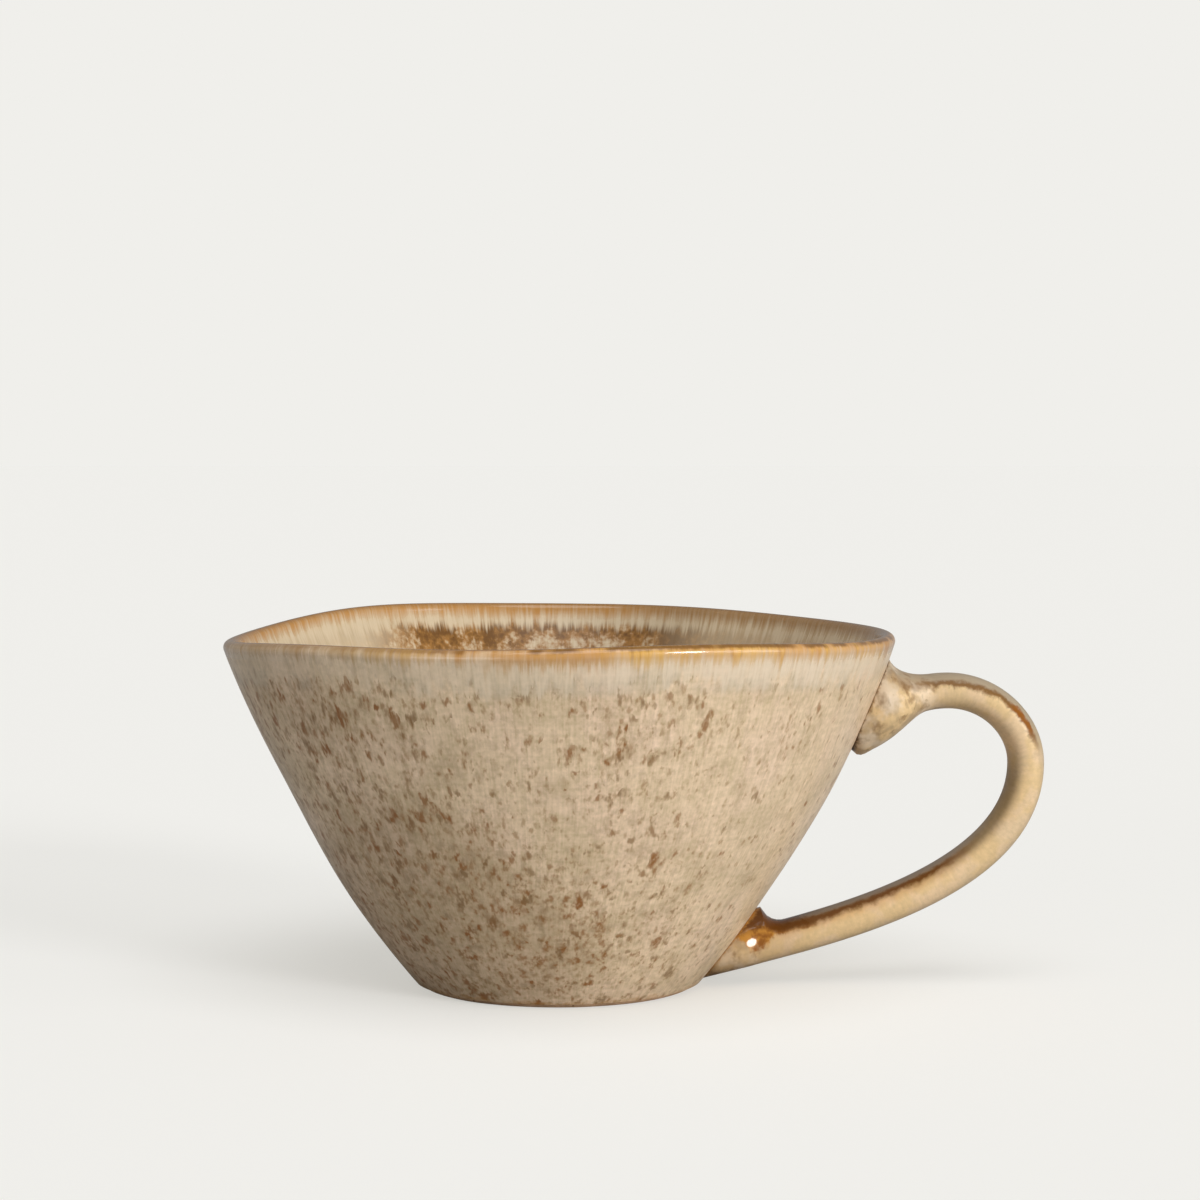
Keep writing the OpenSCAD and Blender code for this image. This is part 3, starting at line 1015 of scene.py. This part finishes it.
def handle_material():
    material, tree, shader, place = material_start("handle glaze")
    cosine, sine, run = split(tree, read_way(tree, "strap_way", (1, 1, 1 / MM)))
    left = strap_length - run
    side = worked(tree, "ARCTAN2", worked(tree, "ABSOLUTE", sine), cosine) * (180 / pi)
    fine = noise(tree, place, 1.3, 3, 0.6)
    cloud = noise(tree, place, 0.2, 3)
    broad = noise(tree, place, 0.11, 2)
    mottle = noise(tree, place, 0.42, 3, 0.6)
    across = noise(tree, combined(tree, run * 1.3, side * 0.03, 0), 1, 3, 0.6)
    torn = (mottle - 0.5) * 40 + (fine - 0.5) * 8 + (across - 0.5) * 14

    colour = mixed(tree, rising(tree, cloud, 0.45, 0.62) * 0.4, HONEY, ROSE)
    colour = mixed(tree, rising(tree, broad, 0.52, 0.64) * 0.35, colour, SAGE)
    tone = (fine - 0.5) * 0.3 + (across - 0.5) * 0.3 + 1
    colour = shaded(tree, colour, tone)

    # the upper face: painted shade and a painted grey sheen, with glaze broken to brown along its edge
    top_shade_and_sheen = rising(tree, side + torn, 68, 52) * rising(tree, run, 46, 36)
    colour = mixed(tree, top_shade_and_sheen * 0.85, colour, SHADE_SHEEN_GREY)
    line = rising(tree, worked(tree, "ABSOLUTE", side - LINE_SIDE + torn), 20, 2)
    line = line * rising(tree, run, 11, 15) * rising(tree, run, 43, 38)
    colour = mixed(tree, line * 0.9, colour, BROWN)
    patch = rising(tree, worked(tree, "ABSOLUTE", run - PATCH_RUN), 4, 1.5)
    patch = patch * rising(tree, worked(tree, "ABSOLUTE", side - PATCH_SIDE + torn), 18, 6)
    colour = mixed(tree, patch * 0.85, colour, SYRUP)

    # painted shade, greyer round the outside of the bend and underneath
    under_shade = rising(tree, side + torn * 0.5, 70, 25) * rising(tree, run, 36, 46)
    colour = mixed(tree, under_shade * 0.3, colour, SHADE_SHEEN_GREY)

    # inside the bend and along the lower limb: painted shade, then a torn brown band, a painted grey
    # sheen above it
    bend_shade = rising(tree, side, 96, 140) * rising(tree, run, 36, 48) * rising(tree, left, 34, 54)
    painted_shade = bend_shade * -0.58 + 1
    colour = shaded(tree, colour, painted_shade)
    halo = rising(tree, side + torn * 0.7, 92, 124) * rising(tree, left, 58, 44)
    colour = mixed(tree, halo * 0.35, colour, OCHRE)
    thinner = rising(tree, left, 20, 34) * 6
    band = rising(tree, side + torn - thinner, 108, 136) * rising(tree, left, 60, 46)
    umber = rising(tree, side + torn, 144, 162)
    colour = mixed(tree, band * 0.92, colour, mixed(tree, umber, TREACLE, UMBER))
    # painted grey sheen and shade on the upward inner face of the lower limb
    grey_sheen = rising(tree, side + torn * 0.6, 148, 164) * rising(tree, left, 64, 50)
    colour = mixed(tree, grey_sheen * 0.7, colour, SHEEN_GREY)

    # the ends are mottled and flecked
    at_end = worked(tree, "MAXIMUM", rising(tree, run, 22, 14), rising(tree, left, 14, 9))
    patchy = noise(tree, place, 0.3, 3)
    colour = mixed(tree, at_end * rising(tree, patchy, 0.42, 0.58) * 0.6, colour, MOSS)
    colour = mixed(tree, at_end * rising(tree, cloud, 0.46, 0.62) * 0.5, colour, PALE)
    spots = use(tree, SPECKS, Place=place, Spread=2.4, Amount=at_end * 0.9)
    colour = mixed(tree, spots("Speck") * 0.6, colour, BROWN)

    # treacly amber pooled on top of the lower end, with a drip
    drip = rising(tree, worked(tree, "ABSOLUTE", left - DRIP_LEFT), 4, 1.5)
    height = side + torn * 0.7 + drip * 24
    pooled = rising(tree, height, 110, 122) * rising(tree, left + (cloud - 0.5) * 16, 25, 17)
    low_end = rising(tree, left, 24, 10) * 0.35
    colour = mixed(tree, low_end, colour, FAWN)
    deep = rising(tree, side + torn * 0.5, 110, 130)
    syrup = mixed(tree, rising(tree, mottle, 0.4, 0.6), AMBER, SYRUP)
    colour = mixed(tree, pooled * 0.94, colour, mixed(tree, deep, syrup, TREACLE))
    # a line in the crease at the wall: painted shade, dark at the upper joint, ochre pooled glaze
    # towards the lower end
    width = rising(tree, side, 100, 160, 0.35, 1.1)
    crease_pool_and_shade = rising(tree, (read_gap(tree) + (fine - 0.5) * 1.5) / width, 1, 0.1)
    crease_pool_and_shade = crease_pool_and_shade * rising(tree, side, 90, 150, 0.4, 0.9)
    colour = mixed(tree, crease_pool_and_shade, colour, mixed(tree, rising(tree, left, 20, 40), OCHRE, DARK))

    skin = use(tree, SKIN, Place=place, Gloss=0.38 - pooled * 0.2)
    feed(tree, shader.inputs["Base Color"], colour)
    feed(tree, shader.inputs["Roughness"], skin("Roughness"))
    feed(tree, shader.inputs["Coat Weight"], pooled * drip * 0.6 + 0.03)
    shader.inputs["Coat Roughness"].default_value = COAT_ROUGHNESS
    shader.inputs["Specular IOR Level"].default_value = 0.12
    bumped(tree, shader, skin("Height"), 1, 0.05)
    set_out(tree)
    return material


def base_material():
    material, tree, shader, place = material_start("base glaze")
    cloud = noise(tree, place, 0.16, 3)
    colour = mixed(tree, rising(tree, cloud, 0.4, 0.7), BEIGE, SAGE)
    colour = speckle_colours(tree, place, colour, 0.5)
    skin = use(tree, SKIN, Place=place, Gloss=0.35)
    feed(tree, shader.inputs["Base Color"], colour)
    feed(tree, shader.inputs["Roughness"], skin("Roughness"))
    bumped(tree, shader, skin("Height"), 0.35, 0.15)
    set_out(tree)
    return material


def clay_material(name, clay, sand):
    material, tree, shader, place = material_start(name)
    body = use(tree, GRAIN, Place=place, Clay=clay, Sand=sand, Iron=BROWN)
    feed(tree, shader.inputs["Base Color"], body("Colour"))
    shader.inputs["Roughness"].default_value = 0.85
    bumped(tree, shader, body("Height"), 0.5, 0.1)
    set_out(tree)
    return material


STREAKS = streaks_effect()
SPECKS = specks_effect()
SKIN = skin_effect()
GRAIN = grain_effect()
BOWL_GLAZE = bowl_effect()

clay = clay_material("stoneware clay", TOAST, CREAM)
slip = clay_material("joining slip", RUST, TOAST)
outer_finish = bowl_material("speckled glaze", 1, jointed=True)
rim_finish = bowl_material("amber rim glaze", 0, gloss=0.4)
inner_finish = bowl_material("cream inner glaze", 0.8)
handle_finish = handle_material()
base_finish = base_material()

WHEEL = wheel_tree()
STRAP = strap_tree()

# Pieces

clay_floor = [(r, recess_depth) for r in spaced(FOOT_STEPS, 0, recess_r - recess_draft)]
foot_outline = clay_floor + [
    (recess_r, 0),
    (foot_d / 2 - foot_bevel, 0),
    tuple(outside(wall_place(foot_bevel))[0]),
]
body_outline = (
    [(r, z, z, 0) for r, z in foot_outline]
    + layer(thinned(wall_rows), thinned(wall_ways), 0)
    + layer(lip_rows[1:], lip_ways[1:], 0)
    + layer(thinned(inside_rows)[1:], thinned(inside_ways)[1:], 0)
)
trim_outline = (
    [(0, -trim_below, 0, 0), (foot_d / 2, -trim_below, 0, 0)]
    + layer(wall_rows, wall_ways, glaze_t)
    + [(0, lip_foot.y, lip_foot.y, 0)]
)
base_outline = (
    [(r, recess_depth - glaze_t, 0, 0)
     for r in spaced(FOOT_STEPS, 0, recess_r - recess_draft * coat_draft_share)]
    + [(r, recess_depth, 0, 0) for r in spaced(FOOT_STEPS, recess_r - recess_draft, 0)]
)

bowl_clay = turned("bowl_clay", body_outline, False, clay)
wall_coat = turned("wall_coat", coat_outline(wall_rows, wall_ways), True, outer_finish)
lip_coat = turned("lip_coat", coat_outline(lip_rows, lip_ways), True, rim_finish)
bowl_coat = turned("bowl_coat", coat_outline(inside_rows, inside_ways)[::-1], False, inner_finish)
under_coat = turned("under_coat", base_outline, False, base_finish)
trimmer = turned("trimmer", trim_outline, False, clay)
along = list(range(len(stations)))
clay_order = [(0, None)] + [(k, 0) for k in along] + [(along[-1], None)]
coat_order = [(k, glaze_t) for k in along] + [(k, 0) for k in along[::-1]]
handle_clay = strap("handle_clay", clay_order, False, clay, trimmer)
handle_coat = strap("handle_coat", coat_order, True, handle_finish, trimmer)
bpy.data.objects.remove(trimmer)
mark_joint(wall_coat, handle_coat)
mark_joint(handle_coat, wall_coat)

for node in ("upper_luting_slip", "lower_luting_slip"):
    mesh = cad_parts[node].data
    mesh.materials.clear()
    mesh.materials.append(slip)

for piece, node, slot in (
    (bowl_clay, "cup_body", "stoneware_clay"),
    (handle_clay, "handle", "stoneware_clay"),
    (wall_coat, "outer_glaze", "speckled_glaze"),
    (lip_coat, "rim_glaze", "amber_rim_glaze"),
    (bowl_coat, "inner_glaze", "cream_inner_glaze"),
    (under_coat, "base_glaze", "base_glaze"),
    (handle_coat, "handle_glaze", "handle_glaze"),
):
    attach(piece, "root")
    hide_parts(node)

# Studio

BACKDROP = paint(240, 239, 235)
FLOOR_TONE = 0.4
FLOOR_HALF = 30
ROOM = 0.28
LAMPS_AWAY = 2
LAMPS_AIM = (0, 0, 0.03)
CAMERA_PLACE = (0.007606, -0.5048, 0.0962)
CAMERA_TILT = 2.954
FOCAL_LENGTH = 83
SENSOR_WIDTH = 36


def aimed(name, data, place):
    lamp = bpy.data.objects.new(name, data)
    lamp.location = place
    lamp.rotation_euler = (Vector(LAMPS_AIM) - Vector(place)).to_track_quat("-Z", "Y").to_euler()
    bpy.context.scene.collection.objects.link(lamp)


def placed_about(turn, lift, away):
    """A place seen from the cup: turned right from the camera, lifted, and so far away."""
    t, e = radians(turn), radians(lift)
    return (away * sin(t) * cos(e), -away * cos(t) * cos(e), away * sin(e))


# The light that falls on the floor is added up, so that the floor can be as bright as the backdrop.
on_floor = ROOM
for name, energy, width, turn, lift in (
    ("front light", 0.5, 30, -40, 5),
    ("softbox", 1.8, 16, 44, 16),
    ("window", 0.74, 30, 70, 12),
    ("ceiling", 1.3, 46, 8, 68),
):
    lamp = bpy.data.lights.new(name, "SUN")
    lamp.energy = energy
    lamp.angle = radians(width)
    aimed(name, lamp, placed_about(turn, lift, LAMPS_AWAY))
    on_floor += energy * sin(radians(lift)) / pi

floor_mesh = bpy.data.meshes.new("floor")
corners = [(-1, -1), (1, -1), (1, 1), (-1, 1)]
floor_mesh.from_pydata([(x * FLOOR_HALF, y * FLOOR_HALF, 0) for x, y in corners], [], [(0, 1, 2, 3)])
floor = bpy.data.objects.new("floor", floor_mesh)
bpy.context.scene.collection.objects.link(floor)
pale_floor = bpy.data.materials.new("pale floor")
pale_floor.use_nodes = True
tree = pale_floor.node_tree
shader = tree.nodes["Principled BSDF"]
shader.inputs["Base Color"].default_value = (FLOOR_TONE, FLOOR_TONE, FLOOR_TONE, 1)
shader.inputs["Roughness"].default_value = 1
shader.inputs["Specular IOR Level"].default_value = 0
shader.inputs["Emission Color"].default_value = [c - FLOOR_TONE * on_floor for c in BACKDROP[:3]] + [1]
feed(tree, shader.inputs["Emission Strength"],
     out_of(tree, put(tree, "ShaderNodeLightPath"), "Is Camera Ray"))
floor_mesh.materials.append(pale_floor)

world = bpy.data.worlds.new("studio")
bpy.context.scene.world = world
world.use_nodes = True
sky = world.node_tree
sky.nodes.clear()
seen_backdrop = put(sky, "ShaderNodeBackground", Color=BACKDROP, Strength=1)
room = put(sky, "ShaderNodeBackground", Color=(1, 1, 1, 1), Strength=ROOM)
ray = put(sky, "ShaderNodeLightPath")
both = put(sky, "ShaderNodeMixShader")
sky.links.new(ray.outputs["Is Camera Ray"], both.inputs[0])
sky.links.new(room.outputs[0], both.inputs[1])
sky.links.new(seen_backdrop.outputs[0], both.inputs[2])
sky.links.new(both.outputs[0], put(sky, "ShaderNodeOutputWorld").inputs["Surface"])
set_out(sky)

lens = bpy.data.cameras.new("camera")
lens.lens = FOCAL_LENGTH
lens.sensor_width = SENSOR_WIDTH
lens.clip_start = 0.01
camera = bpy.data.objects.new("camera", lens)
camera.location = CAMERA_PLACE
camera.rotation_euler = (radians(90 - CAMERA_TILT), 0, 0)
bpy.context.scene.collection.objects.link(camera)
bpy.context.scene.camera = camera
bpy.context.scene.view_settings.view_transform = "Standard"
